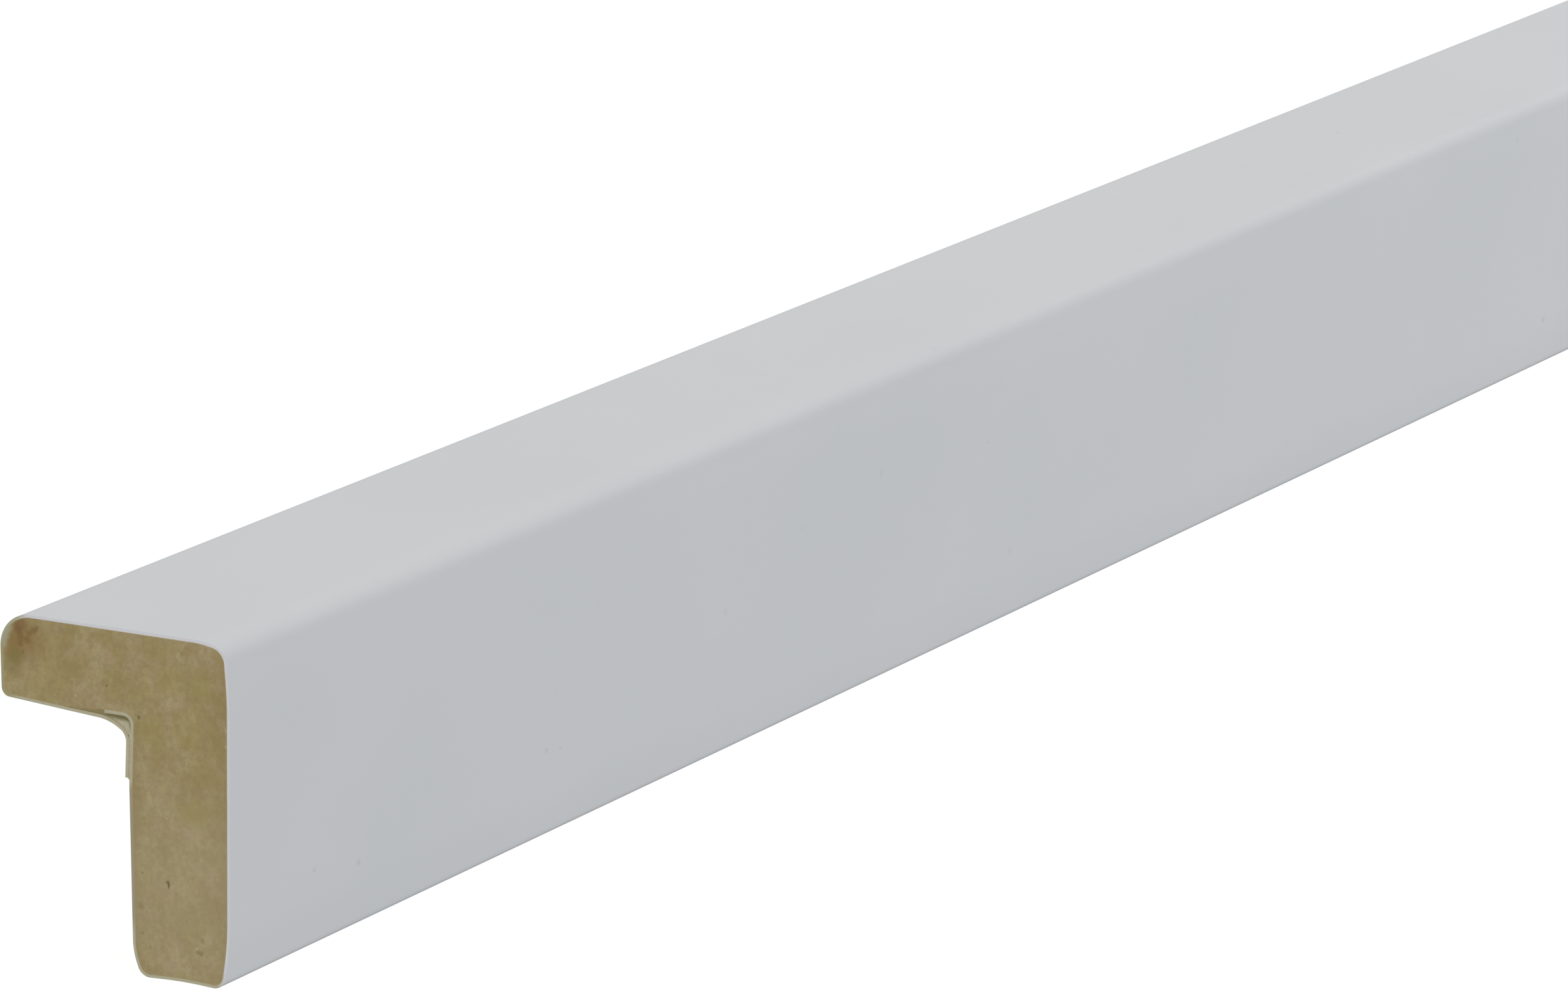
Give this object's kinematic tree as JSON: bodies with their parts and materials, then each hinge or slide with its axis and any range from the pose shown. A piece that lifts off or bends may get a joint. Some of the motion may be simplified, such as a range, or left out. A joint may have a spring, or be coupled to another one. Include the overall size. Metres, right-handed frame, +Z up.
{
  "type": "foil-wrapped angle moulding for a picture rail",
  "caption": "Long angle-section wall moulding of milled fibreboard wrapped in smooth white foil, sawn square at both ends, with soft outer edges and a lapped foil seam in the inner corner.",
  "frame": {"origin": "on the floor, centred on the length and on the width over both leg tips", "axes": "+X along the length; +Z up, with the outer corner on top and both leg tips on the floor; +Y from the front leg's side towards the top leg's side"},
  "size_m": [2.4, 0.0356, 0.0218],
  "materials": {
    "mdf": "medium-density fibreboard, sawn, bare",
    "white_foil": "smooth white finish foil, satin"
  },
  "bodies": {
    "root": {"mdf_core": "mdf", "foil_wrap": "white_foil"}
  },
  "joints": []
}
